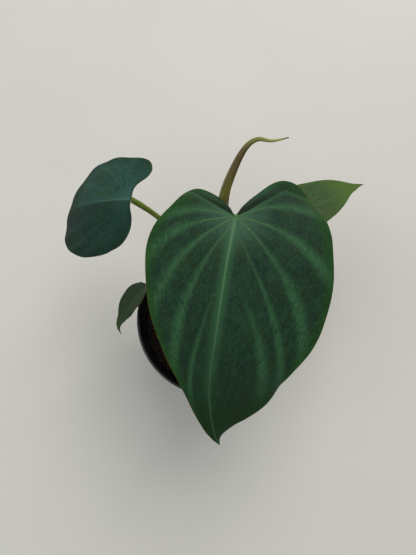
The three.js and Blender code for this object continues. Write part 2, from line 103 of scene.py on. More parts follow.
# Stem and aerial roots
STEM_PATH = [(4, 12, 46), (3, 14.5, 70), (2, 16.5, 84), (2.5, 18.5, 97)]
STEM_RADIUS = 4.4
STEM_TIP_RADIUS = 3.4
NODE_SWELL = 0.9
NODE_HEIGHTS = (79, 84.5, 90, 94.5)
NODE_BAND = 1.1
STEM_RIPPLE = 0.12
ROOTS = [
    ([(4, 13, 79), (7, 5, 79), (10, -3, 77), (11, -7, 70)], 1.1),
    ([(1, 17, 80), (-6, 23, 80), (-13, 28, 77), (-15, 30, 70)], 1.0),
    ([(5, 15, 84), (13, 13, 83), (20, 12, 78), (22, 12, 70)], 1.1),
]

# Blade form: t is the share of the margin from the sinus to the tip, and r the share of the
# vein line that runs from the midrib out to that point of the margin
VEINS = (0.17, 0.34, 0.5, 0.66, 0.87)
GROOVE_BAND = 0.035
FAN_END = 0.6
FAN_POWER = 4.0
SHORTEST_MIDRIB_STEP = 1.0
VEIN_BEND = 22.0
VEIN_REACH = 0.62
EDGE_ROOM_USED = 0.37
FAN_FIRST = 0.05
FAN = (None, 0.3)
VEIN_RIB = 0.45
VEIN_RIB_BAND = 0.5
COLUMN_POWER = 0.9
MIDRIB_BAND = 1.2
SINUS_FOLD_END = 0.17
CREST_FAR = 50.0

FRONT_LEAF = dict(
    midrib=[(14.4, 65.4, 158), (11.7, 42.7, 170), (6.2, 14, 171), (0.8, -20.5, 163), (-2.9, -48.9, 147),
            (-0.6, -71.8, 130), (3.4, -81.8, 121)],
    left=[(4, -13), (24.3, -24.5), (36.6, -6), (45.8, 26), (34.3, 68), (17.5, 95.3), (10, 111.8)],
    right=[(4.5, -17.8), (28.3, -41.4), (44.8, -33.6), (60.7, 15.4), (59.9, 57.7), (47.3, 83.7),
           (36, 114.6), (15.4, 128.7), (3.2, 134.6)],
    veins=((0.17, 0.34, 0.46, 0.6, 0.76, 0.87), (0.17, 0.34, 0.5, 0.69, 0.79, 0.87)),
    roll=(0, 0), fold=(5, 8, 4, 0), curl=0.5, half_width=54.0, thickness=0.7, midrib_depth=1.6,
    groove=0.8, sinus_fold=7.0, wave=0.9, waves=6, lines=150, columns=54,
    crests=([(0, 0), (9.3, -4.6), (17.3, -10.9), (26.4, -20)],
            [(0, 0), (6.6, -5.1), (18.5, -18.9), (28.6, -32.9)]),
)
LEFT_LEAF = dict(
    midrib=[(-41, 63, 149.8), (-52.1, 65.2, 145.8), (-66, 67.8, 139), (-79, 70.6, 130), (-91, 73.2, 119),
            (-100.6, 75.4, 107.5), (-108.3, 77, 95.3)],
    left=[(7, 0.5), (12.4, -3), (17.6, -7.2), (24, -8.1), (30.5, -3), (34.5, 13.5), (36, 34), (32.5, 57),
          (22, 68), (7.4, 76.4)],
    right=[(4, -1), (12.7, -5.6), (21.7, -8.8), (29.5, -8.3), (35.4, -3.8), (40.1, 8.8), (40.5, 22),
           (35.7, 41), (28, 59), (17, 73), (5, 77.5)],
    fan=((23, 0.8), (-6, 0.5)),
    roll=(9, -3), fold=(9, 9, 5, 0), curl=0.3, half_width=38.0, thickness=0.6, midrib_depth=1.2,
    groove=0.3, sinus_fold=1.5, wave=0.5, waves=5, lines=110, columns=36,
)
RIGHT_LEAF = dict(
    midrib=[(27, 51.6, 107), (37.2, 57.7, 107.4), (51, 65.6, 108), (65, 73, 108.8), (80, 80.4, 109.8),
            (94, 87, 110.9), (108.7, 93.1, 112.2)],
    left=[(2.8, -10), (11.7, -18.8), (19.2, -8), (22.4, 12), (20.4, 30), (12.9, 51.2), (8.3, 61.3),
          (2.8, 69.2), (0.8, 75.4)],
    right=[(3, -10), (12.8, -18.8), (21.2, -8), (25.6, 13), (24.6, 32), (19.7, 51.6), (11.1, 65.5),
           (4.2, 73.5), (1.3, 77.8)],
    roll=(-28, -7), fold=(20, 20, 12, 0), curl=0.3, half_width=24.5, thickness=0.6, midrib_depth=1.1,
    groove=0.3, sinus_fold=1.5, wave=0.5, waves=5, lines=110, columns=32,
)
LOW_LEAF = dict(
    midrib=[(-42.9, 22.7, 105.2), (-46.4, 19.6, 104), (-51.7, 14.9, 102.2), (-56.5, 9.8, 99.6),
            (-60.6, 4.6, 96.3), (-64.5, -0.5, 92), (-67.7, -5.5, 87.5), (-66.7, -11.4, 82.5)],
    left=[(1.5, -1), (7, 1.6), (11.4, 4.8), (13.5, 10), (12.6, 18), (9.4, 24.4), (5.2, 31.1), (1.6, 37),
          (0.7, 41)],
    right=[(1.5, -3.5), (6, -5.5), (10.8, -2), (13.5, 4), (12.2, 10.8), (7.8, 21.5), (4.2, 30), (1.6, 36.5),
           (0.7, 41)],
    fan=((0, 0.3), FAN),
    roll=(53, 12), fold=(18, 18, 11, 0), curl=0.3, half_width=12.3, thickness=0.5, midrib_depth=0.8,
    groove=0.2, sinus_fold=0.8, wave=0.3, waves=4, lines=90, columns=22,
)
SHEATH_HALF = [(3.4, 0.5), (4.8, 8), (4.4, 18), (2.6, 27), (0.9, 32)]
CATAPHYLL = dict(
    midrib=[(-2, 19.3, 90), (-2.6, 22.3, 93.5), (-3.6, 27.3, 100), (-4.6, 32.8, 108), (-5.6, 37.8, 116),
            (-6.4, 41.3, 123)],
    left=SHEATH_HALF, right=SHEATH_HALF,
    roll=(0, 0), fold=(-12, -12, -8, 0), curl=-1.1, half_width=4.8, thickness=0.5, midrib_depth=0.0,
    groove=0.0, sinus_fold=0.0, wave=0.0, waves=1, lines=60, columns=14,
)

# Upper faces: display colours in even light from 0 to 255, lengths in mm, strengths from 0 to 1
FRONT_LOOK = dict(
    # In every look, joint is a painted greyish sheen round the blade's joint
    dark=(31, 51, 39), lane=(60, 101, 66), line=(78, 116, 76), midrib=(90, 130, 92), joint=(72, 104, 82),
    # Painted shade: the front leaf's dark olive tip colour
    joint_line=(98, 132, 66), edge=(106, 108, 40), edge_glow=(40, 80, 28), tip=(29, 52, 14),
    joint_reach=27.0, lane_width=10.0, lanes=1.0, lines=0.65, glow=1.0, painted_half_shade=0.0, gloss=0.1, sheen=0.02)
# Left leaf: its blue-grey tints are painted reflection of the sky on the velvet
LEFT_LOOK = dict(
    dark=(43, 70, 62), lane=(60, 94, 84), line=(70, 102, 92), midrib=(82, 112, 98), joint=(66, 98, 88),
    joint_line=(70, 98, 82), edge=(80, 92, 50), edge_glow=(38, 60, 46), tip=(34, 54, 40),
    joint_reach=18.0, lane_width=9.0, lanes=0.8, lines=0.15, glow=0.6, painted_half_shade=0.85, gloss=0.05, sheen=0.0)
RIGHT_LOOK = dict(
    dark=(58, 82, 48), lane=(74, 99, 62), line=(88, 114, 74), midrib=(92, 120, 78), joint=(66, 88, 56),
    joint_line=(90, 116, 74), edge=(104, 120, 44), edge_glow=(78, 106, 48), tip=(92, 120, 48),
    joint_reach=14.0, lane_width=6.0, lanes=0.8, lines=0.3, glow=0.8, painted_half_shade=0.0, gloss=0.15, sheen=0.02)
LOW_LOOK = dict(
    dark=(44, 63, 41), lane=(54, 75, 50), line=(62, 84, 58), midrib=(64, 87, 58), joint=(54, 75, 50),
    joint_line=(64, 85, 58), edge=(76, 84, 44), edge_glow=(48, 65, 40), tip=(84, 96, 50),
    joint_reach=8.0, lane_width=3.0, lanes=0.8, lines=0.2, glow=0.5, painted_half_shade=0.0, gloss=0.15, sheen=0.02)
# Painted shade: green of the heart lobe where it folds down behind its crest
FOLD_SHADE_GREEN = (17, 38, 12)
# Painted shade: multiplier that darkens the half of a blade turned away from the light
FAR_HALF_SHADE = (0.38, 0.46, 0.43)

# What the scene's light does to a leaf colour: it is brightened by the gain and lifted by the haze
LEAF_GAIN = 1.32
LEAF_HAZE = 0.006

# Petioles: path from the stem to the blade's joint, radius at the foot and at the top
PETIOLES = {
    "front": ([(8.9, 17.4, 90), (11.5, 17.6, 96), (13, 20.5, 116), (13, 28.5, 142), (11.8, 41.4, 166.8)],
              2.9, 1.9),
    "left": ([(-3.2, 21, 84), (-7.4, 26, 91), (-12, 38, 105), (-21.8, 50.5, 119), (-36.6, 60.1, 130),
              (-44.6, 63.5, 137.5), (-52, 66.2, 143.4)], 2.4, 1.7),
    "right": ([(6.6, 22.3, 86.5), (11, 27, 90), (20, 38, 98.5), (29.5, 49, 103.5), (37.3, 56.3, 104.9)],
              2.2, 1.5),
    "low": ([(-4.1, 14.3, 79.5), (-11, 12.5, 84), (-24, 13, 94.5), (-36, 15.5, 101.3),
             (-44.9, 18.5, 102.7)], 1.8, 1.2),
}
BRISTLES_PER_MM = 5
BRISTLE_LENGTH = (0.5, 1.3)
BRISTLE_THICKNESS = (0.07, 0.12)

# Rolled new leaf
FURLED_PATH = [(2.6, 18.9, 97.8), (2.9, 27.5, 116), (4.4, 48, 137), (6.1, 61.9, 155), (10.8, 71, 170),
               (16.6, 77.8, 182), (22.6, 79.8, 188), (30.5, 77.1, 191), (39.7, 80.4, 189)]
FURLED_RADII = (2.1, 2.2, 2.6, 3.2, 3.3, 2.8, 2.0, 1.1, 0.3)
ROLL_SEAM = 0.22
ROLL_TURNS = 0.6
ROLL_RIBS = 9

# Stage, in metres
FLOOR_REACH = 6.0


# Small maths

def smooth(x):
    x = np.clip(x, 0.0, 1.0)
    return x * x * (3.0 - 2.0 * x)


def bell(x, width):
    return np.exp(-(np.asarray(x) / width) ** 2)


def unit(v):
    return v / np.maximum(np.linalg.norm(v, axis=-1, keepdims=True), 1e-12)


def along_stops(stops, share):
    return np.interp(share, np.linspace(0, 1, len(stops)), stops)


class Spline:
    """Smooth curve through points, measured along its length."""

    PER_SPAN = 40

    def __init__(self, points):
        p = np.array([tuple(point) + (0,) * (3 - len(point)) for point in points], float)
        p = np.vstack([2 * p[0] - p[1], p, 2 * p[-1] - p[-2]])
        u = (np.arange(self.PER_SPAN) / self.PER_SPAN)[:, None]
        spans = []
        for k in range(1, len(p) - 2):
            a, b, c, d = p[k - 1:k + 3]
            spans.append(0.5 * (2 * b + (c - a) * u + (2 * a - 5 * b + 4 * c - d) * u ** 2
                                + (3 * b - a - 3 * c + d) * u ** 3))
        self.places = np.vstack(spans + [p[-2:-1]])
        steps = np.linalg.norm(np.diff(self.places, axis=0), axis=1)
        self.lengths = np.concatenate([[0.0], np.cumsum(steps)])
        self.length = self.lengths[-1]
        self.second = self.lengths[self.PER_SPAN]
        self.tangents = unit(np.gradient(self.places, axis=0))

    def _sample(self, table, distance):
        return np.stack([np.interp(distance, self.lengths, table[:, k]) for k in range(3)], -1)

    def at(self, distance):
        return self._sample(self.places, distance)

    def along(self, distance):
        return unit(self._sample(self.tangents, distance))


# Mesh making

def new_object(name, points_mm, faces, materials, face_slots=None, sharp_angle=50.0, attributes=None):
    mesh = bpy.data.meshes.new(name)
    mesh.from_pydata((np.asarray(points_mm) * MM).tolist(), [], faces)
    for material in materials:
        mesh.materials.append(material)
    if face_slots is not None:
        mesh.polygons.foreach_set("material_index", np.asarray(face_slots, dtype=np.int32))
    for key, values in (attributes or {}).items():
        values = np.asarray(values, dtype=np.float32)
        kind, field = ("FLOAT_VECTOR", "vector") if values.ndim == 2 else ("FLOAT", "value")
        mesh.attributes.new(key, kind, "POINT").data.foreach_set(field, values.ravel())
    mesh.validate()
    mesh.shade_smooth()
    mesh.set_sharp_from_angle(angle=math.radians(sharp_angle))
    obj = bpy.data.objects.new(name, mesh)
    bpy.context.scene.collection.objects.link(obj)
    return obj


def tube_rings(path, radius, sides, steps):
    """Rings of points along a path, with the share along and round it of each point."""
    spline = path if isinstance(path, Spline) else Spline(path)
    u = np.linspace(0, 1, steps + 1)
    centres = spline.at(u * spline.length)
    tangents = spline.along(u * spline.length)
    side = np.cross(tangents[0], UP if abs(tangents[0][2]) < 0.9 else np.array([1.0, 0, 0]))
    rings = []
    turn = np.arange(sides) / sides
    for k in range(steps + 1):
        side = unit(side - np.dot(side, tangents[k]) * tangents[k])
        other = np.cross(tangents[k], side)
        reach = radius(u[k], turn) * np.ones(sides)
        angle = 2 * math.pi * turn
        sideways = np.outer(reach * np.cos(angle), side)
        rings.append(centres[k] + sideways + np.outer(reach * np.sin(angle), other))
    return np.array(rings), centres, u, turn


def tube_object(name, path, radius, material, sides, steps):
    rings, centres, u, turn = tube_rings(path, radius, sides, steps)
    points = np.vstack([rings.reshape(-1, 3), centres[:1], centres[-1:]])
    start = len(points) - 2
    end = len(points) - 1
    faces = []
    for i in range(steps):
        for k in range(sides):
            here = i * sides + k
            beside = i * sides + (k + 1) % sides
            faces.append((here, beside, beside + sides, here + sides))
    last = steps * sides
    for k in range(sides):
        after = (k + 1) % sides
        faces.append((start, after, k))
        faces.append((end, last + k, last + after))
    along = np.concatenate([np.repeat(u, sides), [0, 1]])
    around = np.concatenate([np.tile(turn, steps + 1), [0, 0]])
    return new_object(name, points, faces, [material], attributes={"along": along, "around": around})


# Blades

def midrib_frames(leaf):
    """Length of the midrib, and a function from distance to the midrib's point and axes."""
    spline = Spline(leaf["midrib"])
    behind = spline.second
    length = spline.length - behind

    def frame_at(distance):
        place = distance + behind
        along = spline.along(place)
        point = spline.at(place) + along * np.minimum(place, 0)[..., None]
        level = unit(np.cross(UP, along))
        upright = np.cross(along, level)
        roll = np.radians(along_stops(leaf["roll"], distance / length))[..., None]
        across = level * np.cos(roll) + upright * np.sin(roll)
        return point, across, np.cross(along, across)

    return length, frame_at


def vein_start(t, length):
    share = np.maximum((t - FAN_END) / (1 - FAN_END), 0) ** FAN_POWER
    return np.where(share * length < SHORTEST_MIDRIB_STEP, 0, share)


def chord_bend(margin, t, length):
    """Angle of the chord to margin share t, and how far the vein line leaves it towards the base."""
    edge = margin.at(t * margin.length)
    tangent = margin.along(t * margin.length)
    chord = np.arctan2(edge[..., 1] - vein_start(t, length) * length, edge[..., 0])
    room = np.arctan2(tangent[..., 1], tangent[..., 0]) - chord
    return chord, np.clip(EDGE_ROOM_USED * room, 0, math.radians(VEIN_BEND))


def vein_bend(margin, t, length, first, settled):
    """Bend of each vein line. Those to the lobe leave the joint evenly spread from the first direction."""
    chord, bend = chord_bend(margin, t, length)
    settled_chord, settled_bend = chord_bend(margin, np.array(settled), length)
    first = chord_bend(margin, np.array(FAN_FIRST), length)[0] if first is None else math.radians(first)
    direction = first + (settled_chord - settled_bend - first) * t / settled
    return np.where(t < settled, chord - direction, bend)


def blade_surface(leaf, side, t, r):
    """Upper face of one half at margin share t and line share r: points and leaf coordinates."""
    length, frame_at = midrib_frames(leaf)
    half = 0 if side < 0 else 1
    outline = (leaf["left"], leaf["right"])[half]
    veins = leaf.get("veins", (VEINS, VEINS))[half]
    margin = Spline([(0, 0)] + list(outline) + [(0, length)])
    edge = margin.at(t * margin.length)
    start = np.zeros_like(edge)
    start[..., 1] = vein_start(t, length) * length
    first, settled = leaf.get("fan", (FAN, FAN))[half]
    bend = vein_bend(margin, t, length, first, settled)
    reach = (edge - start) * VEIN_REACH
    turned = np.stack([reach[..., 0] * np.cos(bend) + reach[..., 1] * np.sin(bend),
                       reach[..., 1] * np.cos(bend) - reach[..., 0] * np.sin(bend),
                       np.zeros_like(bend)], -1)
    rr = r[..., None]
    flat = (1 - rr) ** 2 * start + 2 * (1 - rr) * rr * (start + turned) + rr ** 2 * edge

    share = flat[..., 1] / length
    back, joint, halfway, tip = leaf["fold"]
    fold = np.radians(np.interp(share, [-0.2, 0, 0.5, 1], [back, joint, halfway, tip]))
    bending = leaf["curl"] / leaf["half_width"]
    out = (np.sin(fold) - np.sin(fold - bending * flat[..., 0])) / bending
    rise = (np.cos(fold - bending * flat[..., 0]) - np.cos(fold)) / bending
    sinus_fold = leaf["sinus_fold"] * (1 - smooth(t / SINUS_FOLD_END)) * r * smooth(t / 0.05)
    groove = -sum(bell(t - vein, GROOVE_BAND) for vein in veins) * smooth(r / 0.25) * smooth((1 - r) / 0.25)
    edge_fade = smooth((r - 0.55) / 0.45) * smooth(t / 0.12) * smooth((1 - t) / 0.08)
    wave = leaf["wave"] * edge_fade * np.sin(2 * math.pi * leaf["waves"] * t + side)
    relief = leaf["groove"] * groove + wave - sinus_fold

    point, across, normal = frame_at(flat[..., 1])
    points = point + across * (side * out)[..., None] + normal * (rise + relief)[..., None]
    line = np.linalg.norm(edge - start, axis=-1)
    return points, flat, share, line


def behind_crest(leaf, side, flat):
    """How far each point lies behind the crest where the heart lobe folds down; negative in front of it."""
    if "crests" not in leaf:
        return np.full(flat.shape[:-1], -CREST_FAR)
    crest = np.array(leaf["crests"][0 if side < 0 else 1], float)
    slope = (crest[-1, 1] - crest[0, 1]) / (crest[-1, 0] - crest[0, 0])
    return (np.interp(flat[..., 0], crest[:, 0], crest[:, 1]) - flat[..., 1]) / math.hypot(1, slope)


def blade_grid(leaf):
    """Margin and line shares of one half's grid, and the numbers of the points of both halves."""
    t_lines = np.linspace(0, 1, leaf["lines"] + 1)
    r_lines = np.linspace(0, 1, leaf["columns"] + 1) ** COLUMN_POWER
    t, r = np.meshgrid(t_lines, r_lines, indexing="ij")
    length, _ = midrib_frames(leaf)
    ids = np.arange(2 * t.size).reshape(2, *t.shape)
    ids[1, :, 0] = ids[0, :, 0]
    joint = ids[0, 0, 0]
    ids[:, 0, :] = joint
    ids[:, vein_start(t_lines, length) == 0, 0] = joint
    ids[:, -1, :] = ids[0, -1, 0]
    return t, r, ids


def blade_half(leaf, side, t, r):
    """Upper points of one half, the blade's depth at each, and the fields that the materials read."""
    points, flat, share, line = blade_surface(leaf, side, t, r)
    veins = leaf.get("veins", (VEINS, VEINS))[0 if side < 0 else 1]
    per_t = np.linalg.norm(np.gradient(points, t[:, 0], axis=0), axis=-1)
    to_vein = np.min([abs(t - vein) for vein in veins], axis=0) * per_t
    midrib = leaf["midrib_depth"] * bell(flat[..., 0], MIDRIB_BAND) * (1 - share) * smooth(share * 12 + 0.5)
    vein = VEIN_RIB * bell(to_vein, VEIN_RIB_BAND) * (1 - r) * smooth(r / 0.2) * (leaf["groove"] > 0)
    flat_side = flat * np.array([side, 1, 0])
    flat_side[..., 2] = r * line
    fields = {"vein_mm": to_vein, "rib_mm": flat[..., 0], "edge_mm": (1 - r) * line,
              "joint_mm": np.hypot(flat[..., 0], flat[..., 1]), "crest_mm": behind_crest(leaf, side, flat),
              "out": r, "share": share, "flat": flat_side}
    return points, leaf["thickness"] + midrib + vein, fields


def grid_faces(ids):
    """Upper faces of both halves and the edges along their margins, all wound upwards."""
    faces = []
    rim = []
    for grid, side in zip(ids, (-1, 1)):
        for i in range(grid.shape[0] - 1):
            for j in range(grid.shape[1] - 1):
                ring = [grid[i, j], grid[i + 1, j], grid[i + 1, j + 1], grid[i, j + 1]]
                face = [v for k, v in enumerate(ring) if v != ring[k - 1]]
                if len(face) >= 3 and len(set(face)) == len(face):
                    faces.append(face[::side])
            rim.append((grid[i, -1], grid[i + 1, -1])[::side])
    return faces, rim


def lowered(upper, faces, depths):
    """Points of the underside: each upper point moved down by the depth there, square to the face."""
    normals = np.zeros_like(upper)
    for face in faces:
        a, b, c = upper[face[0]], upper[face[1]], upper[face[2]]
        facing = np.cross(b - a, c - a)
        for corner in face:
            normals[corner] += facing
    return upper - unit(normals) * depths[:, None]


def stacked(halves):
    return np.concatenate([half.reshape(-1, *half.shape[2:]) for half in halves])


def blade_object(name, leaf, upper_material, lower_material):
    t, r, ids = blade_grid(leaf)
    half_points, half_depths, half_fields = zip(*[blade_half(leaf, side, t, r) for side in (-1, 1)])
    upper = stacked(half_points)
    faces, rim = grid_faces(ids)
    lower = lowered(upper, faces, stacked(half_depths))

    used = np.unique(np.concatenate([np.array(face) for face in faces]))
    place = np.full(len(upper), -1)
    place[used] = np.arange(len(used))
    below = len(used)
    upper_faces = [[int(place[v]) for v in face] for face in faces]
    lower_faces = [[v + below for v in face[::-1]] for face in upper_faces]
    rim_faces = []
    for a, b in rim:
        a, b = int(place[a]), int(place[b])
        if a != b:
            rim_faces.append([a, b, b + below, a + below])
    slots = [0] * len(upper_faces) + [1] * len(lower_faces) + [0] * len(rim_faces)
    points = np.vstack([upper[used], lower[used]])
    attributes = {}
    for key in half_fields[0]:
        values = stacked([fields[key] for fields in half_fields])
        attributes[key] = np.concatenate([values[used]] * 2)
    return new_object(name, points, upper_faces + lower_faces + rim_faces,
                      [upper_material, lower_material], slots, attributes=attributes)


# Materials

class Shader:
    """Short hand for building one node material."""

    def __init__(self, name):
        self.material = bpy.data.materials.new(name)
        self.material.use_nodes = True
        self.tree = self.material.node_tree
        self.bsdf = self.tree.nodes["Principled BSDF"]

    def node(self, kind, inputs=(), **settings):
        """New node with these settings, and a value or a link for each named or numbered input."""
        node = self.tree.nodes.new("ShaderNode" + kind)
        for key, value in settings.items():
            setattr(node, key, value)
        for key, value in dict(inputs).items():
            self.feed(node.inputs[key], value)
        return node

    def feed(self, socket, value):
        if isinstance(value, bpy.types.NodeSocket):
            self.tree.links.new(value, socket)
        elif socket.type == "RGBA" and len(value) == 3:
            socket.default_value = (*value, 1.0)
        else:
            socket.default_value = value

    def attributes(self, *names):
        return [self.node("Attribute", attribute_name=name).outputs["Fac"] for name in names]

    def leaf_place(self):
        return self.node("Attribute", attribute_name="flat").outputs["Vector"]

    def object_place(self):
        return self.node("TexCoord").outputs["Object"]

    def maths(self, operation, a, b=0.0):
        return self.node("Math", {0: a, 1: b}, operation=operation).outputs[0]

    def product(self, first, *others):
        for other in others:
            first = self.maths("MULTIPLY", first, other)
        return first

    def vector(self, x, y, z=0.0):
        return self.node("CombineXYZ", {0: x, 1: y, 2: z}).outputs[0]

    def ramp(self, value, low, high, out_low=0.0, out_high=1.0):
        ends = {"From Min": low, "From Max": high, "To Min": out_low, "To Max": out_high}
        return self.node("MapRange", {"Value": value} | ends, interpolation_type="SMOOTHSTEP").outputs[0]

    def mix(self, share, a, b, blend="MIX"):
        return self.node("Mix", {0: share, 6: a, 7: b}, data_type="RGBA", blend_type=blend).outputs[2]

    def scaled(self, vector, scale):
        return self.node("VectorMath", {0: vector, 1: scale}, operation="MULTIPLY").outputs[0]

    def noise(self, vector, scale, detail=3.0, roughness=0.5, distortion=0.0):
        pattern = {"Scale": scale, "Detail": detail, "Roughness": roughness, "Distortion": distortion}
        return self.node("TexNoise", {"Vector": vector} | pattern).outputs["Fac"]

    def cells(self, vector, scale, feature="DISTANCE_TO_EDGE"):
        node = self.node("TexVoronoi", {"Vector": vector, "Scale": scale}, feature=feature)
        return node.outputs["Distance"]

    def bump(self, height, strength, distance):
        node = self.node("Bump", {"Height": height, "Strength": strength, "Distance": distance})
        self.feed(self.bsdf.inputs["Normal"], node.outputs["Normal"])

    def surface(self, color, roughness, specular, **sheen):
        values = {"Base Color": color, "Roughness": roughness, "Specular IOR Level": specular}
        values |= {f"Sheen {key}": value for key, value in sheen.items()}
        for key, value in values.items():
            self.feed(self.bsdf.inputs[key], value)
        return self.material


def srgb(r, g, b):
    """Linear colour from 0 to 255 display values."""
    def linear(v):
        v /= 255
        return v / 12.92 if v <= 0.04045 else ((v + 0.055) / 1.055) ** 2.4
    return tuple(linear(v) for v in (r, g, b))


def seen(r, g, b):
    """Leaf colour that comes out as this display colour under the scene's light."""
    return tuple(max((c - LEAF_HAZE) / LEAF_GAIN, 0.002) for c in srgb(r, g, b))


def times(color, share):
    return tuple(c * share for c in color)


class BladeShader(Shader):
    """Shader with a blade's colours, its distances in millimetres and the noises that mottle it."""

    def __init__(self, name, look):
        super().__init__(name)
        colors = {key: seen(*value) for key, value in look.items() if isinstance(value, tuple)}
        self.look = look | colors
        self.flat = self.leaf_place()
        self.vein, self.rib, self.margin = self.attributes("vein_mm", "rib_mm", "edge_mm")
        self.joint, self.behind = self.attributes("joint_mm", "crest_mm")
        self.out, self.share = self.attributes("out", "share")
        self.mottle = self.noise(self.flat, 0.35, detail=4, roughness=0.65)
        self.wobble = self.product(self.maths("SUBTRACT", self.mottle, 0.5), 4.0)
        self.net = self.cells(self.flat, 0.5)
        across_veins = self.vector(self.product(self.vein, 0.2), self.product(self.out, 46.0),
                                   self.product(self.share, 4.0))
        self.cross = self.noise(across_veins, 1.0, detail=2)


def vein_lanes_and_sheen(s):
    """Share of the pale lane along each vein, partly the leaf's own paler tissue and partly painted velvet
    sheen: narrow at the joint, broad and brighter further out.
    """
    streak = s.noise(s.flat, 0.2, detail=2, distortion=1.5)
    width = s.ramp(s.out, 0.0, 0.9, 1.6, s.look["lane_width"])
    lane = s.ramp(s.maths("DIVIDE", s.maths("ADD", s.vein, s.wobble), width), 0.0, 1.0, 1.0, 0.0)
    lane = s.product(lane, s.ramp(s.out, 0.05, 0.6, 0.5, 1.0), s.ramp(streak, 0.3, 0.6, 0.45, 1.0))
    rib_lane = s.ramp(s.maths("ADD", s.rib, s.wobble), 0.5, 5.5, 0.75, 0.0)
    rib_lane = s.product(rib_lane, s.ramp(s.share, 0.2, 0.9, 1.0, 0.35))
    return s.product(s.maths("MAXIMUM", lane, rib_lane), s.look["lanes"])


def leaf_tissue(s):
    """Dark tissue between the lanes: blotched, finely netted and slightly olive in places."""
    dark = s.look["dark"]
    olive = (dark[0] * 1.7, dark[1] * 1.2, dark[2] * 0.7)
    blotch = s.noise(s.flat, 0.07, detail=2)
    patch = s.noise(s.flat, 0.12, detail=2, distortion=0.8)
    color = s.mix(s.ramp(blotch, 0.35, 0.65), dark, olive)
    color = s.mix(s.ramp(patch, 0.45, 0.65, 0.0, 0.3), color, times(s.look["lane"], 0.8))
    color = s.mix(s.ramp(s.mottle, 0.46, 0.64, 0.0, 0.6), color, times(dark, 2.0))
    color = s.mix(s.ramp(s.mottle, 0.36, 0.47, 0.5, 0.0), color, times(dark, 0.6))
    return s.mix(s.ramp(s.net, 0.0, 0.14, 0.35, 0.0), color, times(dark, 2.3))


def joint_margin_and_tip(s, color):
    """Painted greyish sheen round the joint, yellower green towards the margin and the tip, the front
    leaf's tip darkened as painted shade, and specks all over.
    """
    dark = s.look["dark"]
    speckle = s.noise(s.flat, 1.3, detail=3, roughness=0.7)
    # Painted sheen: greyish green round the joint, where the velvet catches the light
    sheen_from_joint = s.maths("ADD", s.joint, s.product(s.wobble, 3.0))
    color = s.mix(s.ramp(sheen_from_joint, 2.0, s.look["joint_reach"], 0.8, 0.0), color, s.look["joint"])
    glow = s.product(s.ramp(s.margin, 0.3, 16.0, 0.95, 0.0), s.ramp(s.mottle, 0.35, 0.6, 0.45, 1.0))
    color = s.mix(s.product(glow, s.look["glow"]), color, s.look["edge_glow"])
    crossed = s.product(s.ramp(s.cross, 0.36, 0.5, 0.3, 0.0), s.ramp(s.out, 0.1, 0.5))
    color = s.mix(crossed, color, times(dark, 0.6))
    # Towards the tip: on the front leaf a painted shade where the blade droops away from the light; the
    # right and low leaves' yellow-green tips are their own colour
    color = s.mix(s.ramp(s.share, 0.6, 0.9, 0.0, 0.8), color, s.look["tip"])
    color = s.mix(s.ramp(speckle, 0.32, 0.48, 0.6, 0.0), color, times(dark, 0.5))
    return s.mix(s.ramp(speckle, 0.54, 0.72, 0.0, 0.5), color, times(s.look["lane"], 1.5))


def fine_lines(s, color):
    """Broken, faint lines along the veins, a clearer one along the midrib and one along the margin."""
    lines = s.look["lines"]
    faint = s.product(s.ramp(s.mottle, 0.3, 0.65, 0.4, 1.0), s.ramp(s.out, 0.45, 0.95, 1.0, 0.15),
                      s.ramp(s.joint, 6.0, 40.0, lines, 0.3 * lines))
    line_color = s.mix(s.ramp(s.joint, 5.0, s.look["joint_reach"]), s.look["joint_line"], s.look["line"])
    color = s.mix(s.product(s.ramp(s.vein, 0.1, 0.75, 1.0, 0.0), faint), color, line_color)
    rib_width = s.ramp(s.share, 0.0, 0.25, 1.9, 0.9)
    rib_line = s.ramp(s.maths("DIVIDE", s.rib, rib_width), 0.0, 1.0, 1.0, 0.0)
    rib_line = s.product(rib_line, s.ramp(s.share, 0.1, 0.7, 0.9, 0.28))
    color = s.mix(rib_line, color, s.look["midrib"])
    return s.mix(s.ramp(s.margin, 0.15, 0.5, 0.9, 0.0), color, s.look["edge"])


def shaded_parts(s, color):
    """Painted shade and highlight: one half darker where the look asks for it, as if turned from the light,
    the lobe darkened just behind its crest where it folds down, and a highlight just in front of the crest.
    """
    across = s.node("SeparateXYZ", {0: s.flat}).outputs[0]
    # Painted shade on the half of the blade turned away from the light
    away = s.ramp(across, -1.0, 1.5, 0.0, s.look["painted_half_shade"])
    color = s.mix(away, color, FAR_HALF_SHADE, blend="MULTIPLY")
    # Painted highlight just in front of the crest, where the fold catches the light
    crest_highlight = s.product(s.ramp(s.behind, -4.0, -0.5, 0.0, 0.4), s.ramp(s.behind, -0.3, 0.2, 1.0, 0.0))
    color = s.mix(crest_highlight, color, times(s.look["lane"], 1.1))
    # Painted shade just behind the crest, fading away from the joint
    fold_shade = s.product(s.ramp(s.behind, -0.2, 0.6), s.ramp(s.behind, 1.5, 8.0, 0.95, 0.3),
                       s.ramp(s.joint, 18.0, 36.0, 1.0, 0.35))
    return s.mix(fold_shade, color, seen(*FOLD_SHADE_GREEN))


def blade_material(name, look):
    """Velvety upper face: dark tissue, a soft pale lane along each vein, partly painted sheen, a fine line
    in it, and painted shade and highlight where the blade turns from the light or folds.
    """
    s = BladeShader(name, look)
    color = s.mix(vein_lanes_and_sheen(s), leaf_tissue(s), s.look["lane"])
    color = shaded_parts(s, fine_lines(s, joint_margin_and_tip(s, color)))
    pile = s.noise(s.flat, 6.0, detail=2)
    height = s.maths("ADD", s.product(s.net, 0.6), s.product(pile, 0.35))
    height = s.maths("ADD", height, s.maths("ADD", s.mottle, s.product(s.cross, 0.5)))
    s.bump(height, 0.35, 0.0006)
    return s.surface(color, 0.6, look["gloss"], Weight=look["sheen"], Roughness=0.5,
                     Tint=(0.5, 0.85, 0.8, 1.0))


